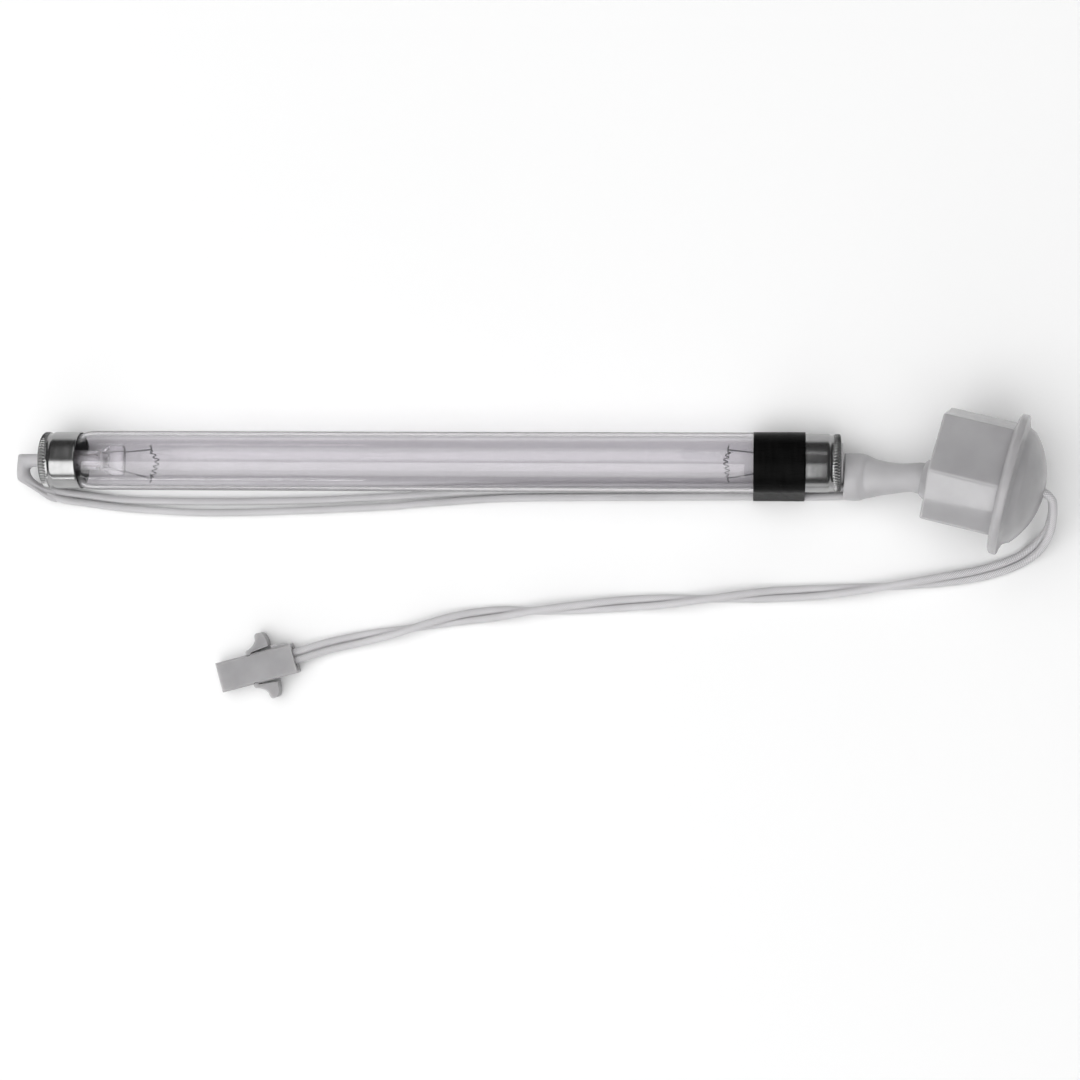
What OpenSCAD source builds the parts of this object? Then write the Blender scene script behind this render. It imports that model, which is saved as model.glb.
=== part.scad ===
// Replacement lamp for a pond uv clarifier, lying as it is stored: a clear
// germicidal tube with a metal cap at each end, a return lead from the far
// pins, a soft stopper on a flexible neck, and a two-wire pigtail that ends
// in a snap-in connector.  +X runs along the lamp to the stopper, +Z is up.

/* [Lamp] */
// Length of the lamp from cap face to cap face
lamp_length = 212; // [130:1:290]
// Outside diameter of the glass tube
tube_d = 15.8; // [15:0.1:26]
// Thickness of the glass
glass_wall = 0.9; // [0.6:0.1:1.5]
// Outside diameter of the end caps
cap_d = 15.2; // [14:0.1:26]
// Length of an end cap
cap_length = 10.2; // [7:0.1:14]
// Number of crimp teeth round a cap's end
cap_teeth = 48; // [24:1:72]
// Distance from a cap's face to its filament
filament_inset = 29; // [20:1:40]
// Distance between the two contact pins of a cap
pin_spacing = 4.75; // [4:0.05:13]

/* [Tape band] */
// Where the tape starts, from the far cap's face
tape_start = 189.4; // [100:0.1:200]
// Width of the tape
tape_width = 13.4; // [8:0.1:25]
// Thickness of the tape
tape_thick = 0.2; // [0.1:0.05:0.5]

/* [Stopper] */
// Hexagon body of the stopper across its flats
plug_flats = 27.5; // [20:0.5:40]
// Rounding of the hexagon's corners
plug_corner_r = 1.5; // [0.5:0.1:3]
// Length of the hexagon body, from the flange's middle
plug_length = 19.6; // [12:0.1:30]
// Diameter of the flange
flange_d = 36.4; // [30:0.1:50]
// Thickness of the flange at its rim
flange_thick = 1.8; // [1:0.1:4]
// Height of the dome's top over the flange's middle
dome_height = 8.8; // [4:0.1:15]
// Distance of the neck's entry from the stopper's own axis
neck_offset = 3.5; // [0:0.1:6]

/* [Leads] */
// Diameter of one return lead
return_d = 2; // [1.5:0.1:3]
// Diameter of one pigtail lead
pigtail_d = 2.1; // [1.5:0.1:3]

/* [Connector] */
// Length of the connector housing
housing_length = 20.9; // [15:0.1:30]
// Width of the housing, without its ears
housing_width = 8.1; // [6:0.1:12]
// Height of the housing
housing_height = 5.6; // [4:0.1:9]
// Distance between the two contacts
contact_pitch = 3.96; // [2.5:0.01:5.1]
// Radius of the hole in each contact
contact_bore_r = 0.8; // [0.5:0.05:1.2]

/* [Hidden] */
$fn = 64;
eps = 0.01;

// where the far cap's face and the lamp's axis lie in the part's frame
far_x = -127.4;
lamp_y = 5.4;

tube_r = tube_d / 2;
cap_r = cap_d / 2;
axis_z = tube_r + tape_thick;
cap_wall = 0.3;
glass_neck_r = cap_r - 0.55;
glass_tip = 3;
glass_tip_r = 6;
press_start = 15.5;
press_end = 22;
press_wide = 8.4;
press_thick = 3;
support_gap = 3.5;
pin_r = 1.18;
pin_out = 2.8;
near_pin_out = 0.3;

// the stopper leans on the rim of its flange and on the far end of its body
plug_at = [254.2, -5.6, 18.2];
plug_yaw = -13.8;
plug_tilt = 9;
plug_roll = 11;
plug_shift = 1.1;
flange_r = flange_d / 2;
rim_low = -0.95;
rim_high = rim_low + flange_thick;
dome_r = 21.3;
core_r = 9;
core_low = -15;
core_high = 4;
collar_length = 2.2;
neck_bore_r = 3.2;
lead_hole_r = 2.4;

// the connector lies flat, its mating face toward the far cap
connector_at = [47.3, -58.1, 0];
connector_turn = 15.4;
ear_pivot = [9.3, 4.5];
ear_low = 0.6;
ear_high = 5;
cavity_r = 1.3;
entry_start = 17.2;

// route of the soft neck: x, y, z, half width, half height
neck_route = [
  [212.9, -3.4, 6.3, 6, 6], [215.4, -3.5, 6.4, 6.2, 6.2],
  [217.6, -3.5, 6.8, 6, 5.9], [219.6, -3.7, 7.5, 5.3, 5.2],
  [221.4, -3.8, 8.6, 4.7, 4.7], [224, -3.9, 10.2, 4.2, 4.2],
  [226.5, -3.9, 11.9, 3.85, 3.85], [228.8, -3.8, 13.3, 3.65, 3.65],
  [230.5, -3.8, 14.1, 3.75, 3.75], [231.8, -3.95, 14.5, 4, 4]];

// route of the sleeve that folds back from the far pins
sleeve_route = [
  [-0.7, -0.6, 8.1, 1.9, 3.9], [-2.2, -0.8, 8.1, 1.8, 3.6],
  [-3.7, -1.4, 8, 1.7, 3], [-5.4, -1.8, 7.7, 1.7, 2.5],
  [-6.7, -3, 7, 1.8, 2.2], [-6.8, -4.9, 6, 1.9, 2],
  [-5.5, -6.7, 4.8, 2, 1.7], [-3.2, -8.1, 3.5, 2.1, 1.5],
  [-0.8, -8.9, 2.5, 2.2, 1.4]];

// routes of the two return leads, from the sleeve to the neck
outer_return = [
  [-1.8, -9.5, 2.6], [3, -10.5, 1.6], [10, -11.5, 1], [21, -13, 1],
  [38, -14, 1], [54, -13.9, 1], [71, -13.2, 1], [82, -12.6, 1],
  [93, -11.8, 1], [103, -10.9, 1], [112, -10.2, 1], [121, -9.6, 1],
  [131, -9.3, 1], [157, -9, 1], [188, -8.7, 1.2], [204, -8.7, 1.2],
  [212, -8.5, 1.7], [215, -8.1, 2.4]];
inner_return = [
  [-1.8, -7.5, 2.8], [3, -8.4, 1.6], [10, -9.3, 1], [21, -10.2, 1],
  [38, -10.4, 1], [54, -10.3, 1], [71, -10, 1], [82, -9.6, 1],
  [93, -9.2, 1], [103, -8.5, 1], [112, -7.9, 1], [121, -7.4, 1],
  [131, -7.1, 1], [157, -6.8, 1], [188, -6.6, 1.2], [204, -6.6, 1.2],
  [212, -6.3, 1.7], [215, -5.9, 2.6]];

// route of the pigtail pair, from the dome to the connector: x, y, z of the
// lower lead's middle on the ground, and how far the pair has twisted
pigtail_route = [
  [260.9, -7.25, 18.3, 80], [262.8, -7.8, 18.5, 80],
  [264.5, -9.4, 17.8, 85], [265.1, -11.9, 15.6, 90],
  [265.2, -14.6, 12.5, 95], [265, -17, 9.3, 105],
  [264.3, -19.2, 6, 125], [263, -21.3, 3.2, 150], [261, -23.3, 1.6, 170],
  [258.4, -25, 1.05, 180], [255, -26.5, 1.05, 185], [251, -27.8, 1.05, 190],
  [246, -29, 1.05, 200], [240, -30, 1.05, 215], [234, -30.8, 1.05, 235],
  [227, -31.7, 1.05, 257], [220, -32.5, 1.05, 285], [212, -33.3, 1.05, 315],
  [204, -33.9, 1.05, 345], [194, -34.5, 1.05, 375], [184, -35.2, 1.05, 425],
  [174, -36, 1.05, 465], [164, -36.7, 1.05, 515], [154, -37.4, 1.05, 550],
  [143, -38.4, 1.05, 585], [132, -39.3, 1.05, 625], [122, -40.2, 1.05, 690],
  [112, -41.5, 1.05, 745], [103, -43.4, 1.05, 790], [94, -45.5, 1.05, 840],
  [85, -47.4, 1.05, 880], [77, -49.2, 1.5, 895], [72, -50.7, 2.4, 900],
  [68.7, -51.8, 2.8, 900], [65, -52.8, 2.8, 900]];

// ---------------------------------------------------------------- placing

// Places a piece that is drawn from the far cap's face, on the lamp's foot
module at_lamp() {
  translate([far_x, lamp_y, 0]) children();
}

// Turns a piece drawn up +Z from a cap's face into the far end of the lamp
module at_far_end() {
  at_lamp() translate([0, 0, axis_z]) rotate([0, 90, 0]) children();
}

// The same for the near end, facing the other way
module at_near_end() {
  at_lamp() translate([lamp_length, 0, axis_z]) rotate([0, -90, 0]) children();
}

// Turns a piece drawn up +Z from the flange's middle into the stopper
module at_stopper() {
  at_lamp() translate(plug_at) rotate([0, 0, plug_yaw])
    rotate([0, 90 - plug_tilt, 0]) children();
}

// Places a piece drawn along +X from the connector's mating face
module at_connector() {
  at_lamp() translate(connector_at) rotate([0, 0, connector_turn]) children();
}

// ------------------------------------------------------------ swept tubes

function unit(v) = v / norm(v);
function place(row) = [row[0], row[1], row[2]];
function clamp_row(route, i) = route[max(0, min(len(route) - 1, i))];

// A point between rows i and i + 1 on a smooth curve through all of them
function between(route, i, t) =
  let(a = clamp_row(route, i - 1), b = route[i], c = clamp_row(route, i + 1),
      d = clamp_row(route, i + 2))
  (2 * b + (c - a) * t + (2 * a - 5 * b + 4 * c - d) * t * t
    + (3 * b - a - 3 * c + d) * t * t * t) / 2;

function smooth(route, steps) = [
  for (i = [0 : len(route) - 2], k = [0 : steps - 1])
    between(route, i, k / steps), route[len(route) - 1]];

function heading(route, i) = unit(
  place(clamp_row(route, i + 1)) - place(clamp_row(route, i - 1)));
function across(route, i) = unit(cross(heading(route, i), [0, 0, 1]));
function upward(route, i) = cross(across(route, i), heading(route, i));

// Skins an oval tube along rows of x, y, z, half width and half height
module swept(route, sides) {
  rings = len(route);
  points = [
    for (i = [0 : rings - 1], j = [0 : sides - 1])
      let(a = 360 * (j + 0.5) / sides)
      place(route[i]) + route[i][3] * cos(a) * across(route, i)
        + route[i][4] * sin(a) * upward(route, i)];
  walls = [
    for (i = [0 : rings - 2], j = [0 : sides - 1], half = [0, 1])
      let(k = (j + 1) % sides, here = i * sides, there = here + sides)
      half == 0 ? [here + j, here + k, there + k]
                : [here + j, there + k, there + j]];
  near_end = [for (j = [sides - 1 : -1 : 0]) j];
  far_end = [for (j = [0 : sides - 1]) (rings - 1) * sides + j];
  polyhedron(points, concat([near_end], walls, [far_end]));
}

// A round tube of one diameter
module lead(route, d) {
  swept([for (row = route) [row[0], row[1], row[2], d / 2, d / 2]], 8);
}

// One lead of the twisted pair: turn is 0 for one lead and 180 for the other
function pair_lead(route, turn) = [
  for (i = [0 : len(route) - 1])
    let(a = route[i][3], r = pigtail_d / 2 + 0.02)
    place(route[i]) + [0, 0, r * abs(sin(a))]
      + r * cos(a + turn) * across(route, i)
      + r * sin(a + turn) * upward(route, i)];

// ------------------------------------------------------------ lamp pieces

module glass_tube() {
  rise = [[glass_tip, glass_tip_r], [5, glass_neck_r - 0.35],
    [6.5, glass_neck_r], [9.8, glass_neck_r], [10.8, 7.3], [12, 7.7],
    [13.5, tube_r]];
  fall = [for (i = [len(rise) - 1 : -1 : 0])
    [lamp_length - rise[i][0], rise[i][1]]];
  outside = concat(rise, fall);
  inside = [for (i = [len(outside) - 1 : -1 : 0])
    [outside[i][0], outside[i][1] - glass_wall]];
  color([0.86, 0.88, 0.9, 0.4]) at_far_end() rotate_extrude()
    polygon([for (p = concat(outside, inside)) [p[1], p[0]]]);
}

module end_cap() {
  tooth = 360 / cap_teeth;
  teeth = [for (i = [0 : 2 * cap_teeth - 1])
    let(r = i % 2 == 0 ? cap_r : cap_r - 0.35)
    [r * cos(i * tooth / 2), r * sin(i * tooth / 2)]];
  color([0.78, 0.78, 0.79]) difference() {
    union() {
      linear_extrude(1.6) polygon(teeth);
      cylinder(r = cap_r - 0.4, h = 2.6);
      translate([0, 0, 2.5]) cylinder(r = cap_r, h = cap_length - 2.5);
    }
    translate([0, 0, 0.6]) cylinder(r = cap_r - 0.7, h = cap_length);
    translate([0, 0, 2.8]) cylinder(r = cap_r - cap_wall, h = cap_length);
    translate([0, 0, -1]) cylinder(r = 5.2, h = 3);
  }
}

module cap_insulator() {
  color([0.9, 0.88, 0.82]) difference() {
    union() {
      translate([0, 0, -0.4]) cylinder(r = 5.2, h = 1);
      translate([0, 0, 0.6]) cylinder(r = 6.2, h = 0.8);
    }
    for (side = [-1, 1])
      translate([side * pin_spacing / 2, 0, -1]) cylinder(r = pin_r, h = 4);
  }
}

module cement_ring() {
  color([0.82, 0.8, 0.74]) translate([0, 0, 6.6]) difference() {
    cylinder(r = cap_r - cap_wall, h = 3);
    translate([0, 0, -1]) cylinder(r = glass_neck_r, h = 5);
  }
}

// Two pins that stand out of the insulator's face by so much
module contact_pins(out) {
  color([0.75, 0.72, 0.6]) for (side = [-1, 1])
    translate([side * pin_spacing / 2, 0, -out]) union() {
      translate([0, 0, 0.5]) cylinder(r = pin_r, h = out + 1.5);
      cylinder(r1 = pin_r - 0.4, r2 = pin_r, h = 0.5 + eps);
    }
}

module stem() {
  flare = [[3, 5.08], [4.5, 4], [7, 3], [9.5, 2.7], [press_start, 2.6]];
  hollow = [for (i = [len(flare) - 1 : -1 : 0])
    [flare[i][0], flare[i][1] - 0.7]];
  color([0.88, 0.9, 0.9, 0.45]) union() {
    rotate_extrude() polygon([for (p = concat(flare, hollow)) [p[1], p[0]]]);
    hull() {
      translate([0, 0, press_start]) cylinder(r = 2.6, h = 0.4, $fn = 32);
      for (side = [-1, 1])
        translate([0, side * (press_wide - press_thick) / 2, press_start + 2])
          cylinder(d = press_thick, h = press_end - press_start - 2, $fn = 32);
    }
  }
}

module exhaust_tube() {
  color([0.88, 0.9, 0.9, 0.45]) difference() {
    translate([0, 0, 4]) cylinder(r = 1.2, h = press_start - 4);
    translate([0, 0, 5]) cylinder(r = 0.7, h = press_start);
  }
}

module seal_wires() {
  color([0.45, 0.3, 0.24]) for (side = [-1, 1])
    translate([0, side * 1.55, 2.3])
      cylinder(r = 0.25, h = press_start - 2.3);
}

module filament_posts() {
  reach = filament_inset - press_end;
  color([0.55, 0.55, 0.56]) for (side = [-1, 1])
    translate([0, side * 2.6, press_end]) union() {
      rotate([side * -8, 0, 0]) cylinder(r = 0.25, h = reach + 0.4);
      translate([0, side * reach * tan(8), reach]) sphere(r = 0.45, $fn = 24);
    }
}

// The coil sags away from its posts; its tube is the outside of the coil
module filament() {
  half = 2.6 + (filament_inset - press_end) * tan(8) - 0.5;
  route = [for (i = [0 : 12])
    let(t = i / 6 - 1)
    [filament_inset + 1.2 * (1 - t * t), half * t, 0, 0.75, 0.75]];
  color([0.35, 0.35, 0.36]) rotate([0, -90, 0]) swept(route, 8);
}

// Everything that the tape goes round, the tube and both leads, as one bar
module wrapped_bar(grow, length) {
  big = tube_r + grow;
  small = return_d / 2 + grow;
  lead_at = [-8.7, return_d / 2 + tape_thick];
  along = unit(lead_at - [0, axis_z]);
  out = 2 * (along * [0, -1]) * along - [0, -1];
  union() {
    translate([0, axis_z, 0]) cylinder(r = big, h = length);
    translate([lead_at[0], lead_at[1], 0]) cylinder(r = small, h = length);
    linear_extrude(length) polygon([[0, axis_z - big], lead_at - [0, small],
      lead_at + small * out, [0, axis_z] + big * out, [0, axis_z]]);
  }
}

module tape_band() {
  color([0.06, 0.06, 0.06]) at_lamp() translate([tape_start, 0, 0])
    rotate([90, 0, 90]) difference() {
      wrapped_bar(tape_thick, tape_width);
      translate([0, 0, -1]) wrapped_bar(0, tape_width + 2);
    }
}

// ------------------------------------------------------------ soft pieces

module pin_sleeve() {
  color([0.9, 0.9, 0.89]) difference() {
    at_lamp() swept(smooth(sleeve_route, 2), 12);
    at_far_end() for (side = [-1, 1])
      translate([side * pin_spacing / 2, 0, -pin_out - 0.05])
        cylinder(r = pin_r, h = 6, $fn = 32);
  }
}

module neck_sleeve() {
  inside = [for (row = smooth(neck_route, 2))
    [row[0], row[1], row[2], row[3] - 0.9, row[4] - 0.9]];
  longer = concat([inside[0] - [0.5, 0, 0, 0, 0]], inside,
    [inside[len(inside) - 1] + [0.5, -0.1, 0.2, 0, 0]]);
  color([0.93, 0.93, 0.92]) at_lamp() difference() {
    swept(smooth(neck_route, 2), 16);
    swept(longer, 16);
  }
}

module neck_leads() {
  start = 3;
  color([0.9, 0.9, 0.88]) at_lamp() for (side = [-1, 1], lift = [-1, 1])
    swept([for (i = [start : len(neck_route) - 1])
      let(row = neck_route[i])
      [row[0], row[1] + side * 0.95, row[2] + lift * 0.95, 0.85, 0.85]], 8);
}

module outer_return_lead() {
  color([0.9, 0.9, 0.89]) at_lamp() lead(outer_return, return_d);
}

module inner_return_lead() {
  color([0.9, 0.9, 0.89]) at_lamp() lead(inner_return, return_d);
}

module pigtail_lead_a() {
  color([0.88, 0.88, 0.87]) at_lamp()
    lead(pair_lead(smooth(pigtail_route, 2), 0), pigtail_d);
}

module pigtail_lead_b() {
  color([0.88, 0.88, 0.87]) at_lamp()
    lead(pair_lead(smooth(pigtail_route, 2), 180), pigtail_d);
}

// ---------------------------------------------------------------- stopper

// A hexagon with round corners, one corner on +X
module round_hexagon(flats, r) {
  reach = (flats / 2 - r) / cos(30);
  polygon([for (k = [0 : 5], turn = [-30 : 15 : 30])
    reach * [cos(60 * k), sin(60 * k)]
      + r * [cos(60 * k + turn), sin(60 * k + turn)]]);
}

module stopper() {
  rings = 12;
  dome_edge = 16.3;
  dome_arc = [for (i = [0 : rings - 1])
    let(a = asin(dome_edge / dome_r) * (1 - i / rings))
    [dome_r * sin(a), dome_height - dome_r * (1 - cos(a))]];
  color([0.92, 0.92, 0.91]) at_stopper() difference() {
    union() {
      translate([0, plug_shift, -plug_length]) rotate([0, 0, plug_roll])
        linear_extrude(plug_length) round_hexagon(plug_flats, plug_corner_r);
      rotate_extrude() polygon(concat(
        [[0, rim_low], [flange_r, rim_low], [flange_r, rim_high - 0.5],
          [flange_r - 1.6, rim_high + 0.4]], dome_arc, [[0, dome_height]]));
      translate([0, -neck_offset, -plug_length - collar_length])
        cylinder(r1 = 4.4, r2 = 5.8, h = collar_length + eps);
    }
    translate([0, 0, core_low]) cylinder(r = core_r, h = core_high - core_low);
    translate([0, -neck_offset, -plug_length - 5])
      cylinder(r = neck_bore_r, h = plug_length + 5 + core_low + 1);
    translate([0, 0, core_high - 1]) cylinder(r = lead_hole_r, h = 8);
  }
}

module stopper_core() {
  gap = 0.03;
  color([0.86, 0.86, 0.84]) at_stopper() translate([0, 0, core_low + gap])
    cylinder(r = core_r - gap, h = core_high - core_low - 2 * gap);
}

// -------------------------------------------------------------- connector

module connector_housing() {
  half = housing_width / 2;
  cut = 0.5;
  color([0.93, 0.92, 0.88]) at_connector() difference() {
    union() {
      rotate([90, 0, 90]) linear_extrude(housing_length)
        polygon([[-half, cut], [-half + cut, 0], [half - cut, 0], [half, cut],
          [half, housing_height - cut], [half - cut, housing_height],
          [-half + cut, housing_height], [-half, housing_height - cut]]);
      translate([0, 0, 0.6]) linear_extrude(housing_height - 1.2)
        polygon([[15.7, half - 1], [15.7, half + 0.9], [18.6, half + 0.6],
          [20.1, half - 0.1], [20.6, half - 1]]);
    }
    for (side = [-1, 1]) {
      translate([-1, side * contact_pitch / 2, housing_height / 2])
        rotate([0, 90, 0]) cylinder(r = cavity_r, h = housing_length + 2);
      translate([ear_pivot[0], side * ear_pivot[1], -1])
        cylinder(r = 0.9, h = housing_height + 2);
    }
    translate([entry_start, -contact_pitch / 2, housing_height / 2 - cavity_r])
      cube([housing_length, contact_pitch, 2 * cavity_r]);
  }
}

module connector_contacts() {
  color([0.8, 0.7, 0.45]) at_connector() for (side = [-1, 1])
    translate([0.8, side * contact_pitch / 2, housing_height / 2])
      rotate([0, 90, 0]) difference() {
        cylinder(r = cavity_r - 0.1, h = 15);
        translate([0, 0, -1]) cylinder(r = contact_bore_r, h = 9);
        translate([0, 0, 10]) cylinder(r = 1, h = 8);
      }
}

// A sprung ear: a round root in the housing's side, and an arm that leans out
module panel_ear() {
  thick = ear_high - ear_low;
  color([0.93, 0.92, 0.88]) translate([0, 0, ear_low]) union() {
    translate([ear_pivot[0], ear_pivot[1], 0]) cylinder(r = 0.75, h = thick);
    linear_extrude(thick)
      polygon([[9.3, 4.5], [8.9, 5.05], [10.2, 5.6], [11.2, 6.25],
        [11.85, 7.1], [12.05, 8.3], [12.25, 8.75], [12.7, 9], [13.8, 8.9],
        [14.3, 8.6], [14.75, 7.6], [14.95, 6.4], [15, 4.9], [9.6, 4.35]]);
  }
}

module left_panel_ear() {
  at_connector() panel_ear();
}

module right_panel_ear() {
  at_connector() mirror([0, 1, 0]) panel_ear();
}

// ------------------------------------------------- pieces at the two ends

module far_end_cap() { at_far_end() end_cap(); }
module near_end_cap() { at_near_end() end_cap(); }
module far_cap_insulator() { at_far_end() cap_insulator(); }
module near_cap_insulator() { at_near_end() cap_insulator(); }
module far_cement_ring() { at_far_end() cement_ring(); }
module near_cement_ring() { at_near_end() cement_ring(); }
module far_contact_pins() { at_far_end() contact_pins(pin_out); }
module near_contact_pins() { at_near_end() contact_pins(near_pin_out); }
module far_stem() { at_far_end() stem(); }
module near_stem() { at_near_end() stem(); }
module far_exhaust_tube() { at_far_end() exhaust_tube(); }
module near_exhaust_tube() { at_near_end() exhaust_tube(); }
module far_seal_wires() { at_far_end() seal_wires(); }
module near_seal_wires() { at_near_end() seal_wires(); }
module far_filament_posts() { at_far_end() filament_posts(); }
module near_filament_posts() { at_near_end() filament_posts(); }
module far_filament() { at_far_end() filament(); }
module near_filament() { at_near_end() filament(); }

glass_tube();
far_end_cap();
near_end_cap();
far_cap_insulator();
near_cap_insulator();
far_cement_ring();
near_cement_ring();
far_contact_pins();
near_contact_pins();
far_stem();
near_stem();
far_exhaust_tube();
near_exhaust_tube();
far_seal_wires();
near_seal_wires();
far_filament_posts();
near_filament_posts();
far_filament();
near_filament();
tape_band();
pin_sleeve();
outer_return_lead();
inner_return_lead();
neck_sleeve();
neck_leads();
stopper();
stopper_core();
pigtail_lead_a();
pigtail_lead_b();
connector_housing();
connector_contacts();
left_panel_ear();
right_panel_ear();
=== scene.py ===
import math

import bmesh
import bpy
import numpy as np
from mathutils import Matrix, Vector


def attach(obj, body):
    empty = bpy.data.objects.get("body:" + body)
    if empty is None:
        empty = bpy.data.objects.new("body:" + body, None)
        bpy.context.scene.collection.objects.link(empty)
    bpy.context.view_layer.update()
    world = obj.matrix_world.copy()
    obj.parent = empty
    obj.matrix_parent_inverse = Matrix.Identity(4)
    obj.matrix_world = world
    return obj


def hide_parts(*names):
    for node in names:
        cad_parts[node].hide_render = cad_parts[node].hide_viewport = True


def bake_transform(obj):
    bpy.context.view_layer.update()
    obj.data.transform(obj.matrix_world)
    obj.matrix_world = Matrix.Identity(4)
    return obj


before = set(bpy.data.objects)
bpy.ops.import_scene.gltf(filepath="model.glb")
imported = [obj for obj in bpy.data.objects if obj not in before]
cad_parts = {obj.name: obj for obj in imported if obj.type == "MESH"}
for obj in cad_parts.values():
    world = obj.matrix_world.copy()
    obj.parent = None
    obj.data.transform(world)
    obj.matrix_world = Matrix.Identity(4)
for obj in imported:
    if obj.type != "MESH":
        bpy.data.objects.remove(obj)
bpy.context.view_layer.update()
scene = bpy.context.scene

# Lengths are in millimetres from the far cap's face along the lamp, as in
# the CAD source, and become metres in the frame when a mesh is made.
FAR_X, LAMP_Y, AXIS_Z = -127.4, 5.4, 8.1
LAMP_LENGTH, TUBE_R, CAP_R = 212.0, 7.9, 7.6
TUBE_WALL = 0.9


def to_frame(points):
    """Points from lamp millimetres to frame metres."""
    return (np.asarray(points, float) + (FAR_X, LAMP_Y, 0)) / 1000


def unit(v):
    return v / np.maximum(np.linalg.norm(v, axis=-1, keepdims=True), 1e-12)


# ------------------------------------------------------------------ camera

camera = bpy.data.objects.new("camera", bpy.data.cameras.new("camera"))
scene.collection.objects.link(camera)
camera.data.lens, camera.data.sensor_width = 74.67, 36
camera.data.clip_start, camera.data.clip_end = 0.05, 20
camera.location = (0.0631, -0.0151, 0.5945)
camera.rotation_mode = "ZYX"
camera.rotation_euler = (0, math.radians(5.534), math.radians(0.4125))
scene.camera = camera
scene.view_settings.view_transform = "Standard"


# --------------------------------------------------------------- materials


class Shade:
    """A small wrapper round one material's node tree."""

    def __init__(self, name, **sockets):
        self.material = bpy.data.materials.new(name)
        self.material.use_nodes = True
        self.tree = self.material.node_tree
        self.bsdf = self.tree.nodes["Principled BSDF"]
        self.output = self.tree.nodes["Material Output"]
        self.place = self.node("ShaderNodeTexCoord").outputs["Object"]
        for key, value in sockets.items():
            socket = self.bsdf.inputs[key.replace("_", " ")]
            socket.default_value = value

    def node(self, kind, **settings):
        made = self.tree.nodes.new(kind)
        for key, value in settings.items():
            setattr(made, key, value)
        return made

    def link(self, source, target):
        self.tree.links.new(source, target)

    def stretched(self, scale):
        """Object coordinates scaled by three numbers, as per metre."""
        mapping = self.node("ShaderNodeMapping")
        mapping.inputs["Scale"].default_value = scale
        self.link(self.place, mapping.inputs["Vector"])
        return mapping.outputs["Vector"]

    def noise(self, scale, detail=3.0, rough=0.5):
        """Noise whose features are 1 / scale metres, scale per axis or one."""
        if not hasattr(scale, "__len__"):
            scale = (scale, scale, scale)
        made = self.node("ShaderNodeTexNoise")
        made.inputs["Scale"].default_value = 1.0
        made.inputs["Detail"].default_value = detail
        made.inputs["Roughness"].default_value = rough
        self.link(self.stretched(scale), made.inputs["Vector"])
        return made.outputs["Fac"]

    def ramp(self, source, *stops):
        """Colours or grey levels at stops of (position, value)."""
        made = self.node("ShaderNodeValToRGB")
        points = made.color_ramp.elements
        while len(points) < len(stops):
            points.new(0.5)
        for point, (at, value) in zip(points, stops):
            point.position = at
            grey = not hasattr(value, "__len__")
            point.color = (value,) * 3 + (1,) if grey else (*value, 1)
        self.link(source, made.inputs["Fac"])
        return made.outputs["Color"]

    def attribute(self, name):
        made = self.node("ShaderNodeAttribute", attribute_name=name)
        return made.outputs["Fac"]

    def times(self, a, b):
        made = self.node("ShaderNodeMix", data_type="RGBA", blend_type="MULTIPLY")
        made.inputs["Factor"].default_value = 1.0
        self.link(a, made.inputs["A"])
        self.link(b, made.inputs["B"])
        return made.outputs["Result"]

    def set(self, **links):
        for key, source in links.items():
            self.link(source, self.bsdf.inputs[key.replace("_", " ")])
        return self

    def bump(self, height, strength, distance):
        made = self.node("ShaderNodeBump")
        made.inputs["Strength"].default_value = strength
        made.inputs["Distance"].default_value = distance
        self.link(height, made.inputs["Height"])
        self.link(made.outputs["Normal"], self.bsdf.inputs["Normal"])
        return self


# the faint violet cast of everything white or clear
CAST = (1.0, 0.985, 1.01)


def cast(level):
    return tuple(min(1.0, level * c) for c in CAST)


def glass(name, tint, roughness, ior=1.47, clear=1.0, painted_rim_shade=0.0,
          ripple=None):
    """Glass that lets lamps through, so that what is inside is lit.

    painted_rim_shade is how much grey diffuse is mixed in where it turns away, a
    painted shade on its rims; ripple is its scale and depth.
    """
    s = Shade(name, Transmission_Weight=clear, IOR=ior)
    low, high = roughness
    s.set(Base_Color=s.ramp(s.noise((8, 300, 300), 2), (0.3, cast(tint * 0.97)),
                            (0.7, cast(tint))))
    s.set(Roughness=s.ramp(s.noise(180, 3), (0.35, low), (0.75, high)))
    if ripple:
        s.bump(s.noise(ripple[0], 1), ripple[1], 0.0003)
    surface = s.bsdf.outputs["BSDF"]
    # painted shade: a grey diffuse mixed in where the glass turns away darkens
    # its rims
    if painted_rim_shade:
        rim = s.node("ShaderNodeLayerWeight")
        rim.inputs["Blend"].default_value = 0.5
        painted_rim_grey = s.node("ShaderNodeBsdfDiffuse")
        painted_rim_grey.inputs["Color"].default_value = (*cast(0.3), 1)
        both = s.node("ShaderNodeMixShader")
        s.link(s.ramp(rim.outputs["Facing"], (0.5, 0.0), (0.85, painted_rim_shade)),
               both.inputs["Fac"])
        s.link(surface, both.inputs[1])
        s.link(painted_rim_grey.outputs["BSDF"], both.inputs[2])
        surface = both.outputs["Shader"]
    see = s.node("ShaderNodeBsdfTransparent")
    see.inputs["Color"].default_value = (0.93, 0.93, 0.93, 1)
    mix = s.node("ShaderNodeMixShader")
    rays = s.node("ShaderNodeLightPath")
    s.link(rays.outputs["Is Shadow Ray"], mix.inputs["Fac"])
    s.link(surface, mix.inputs[1])
    s.link(see.outputs["BSDF"], mix.inputs[2])
    s.link(mix.outputs["Shader"], s.output.inputs["Surface"])
    return s.material


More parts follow.
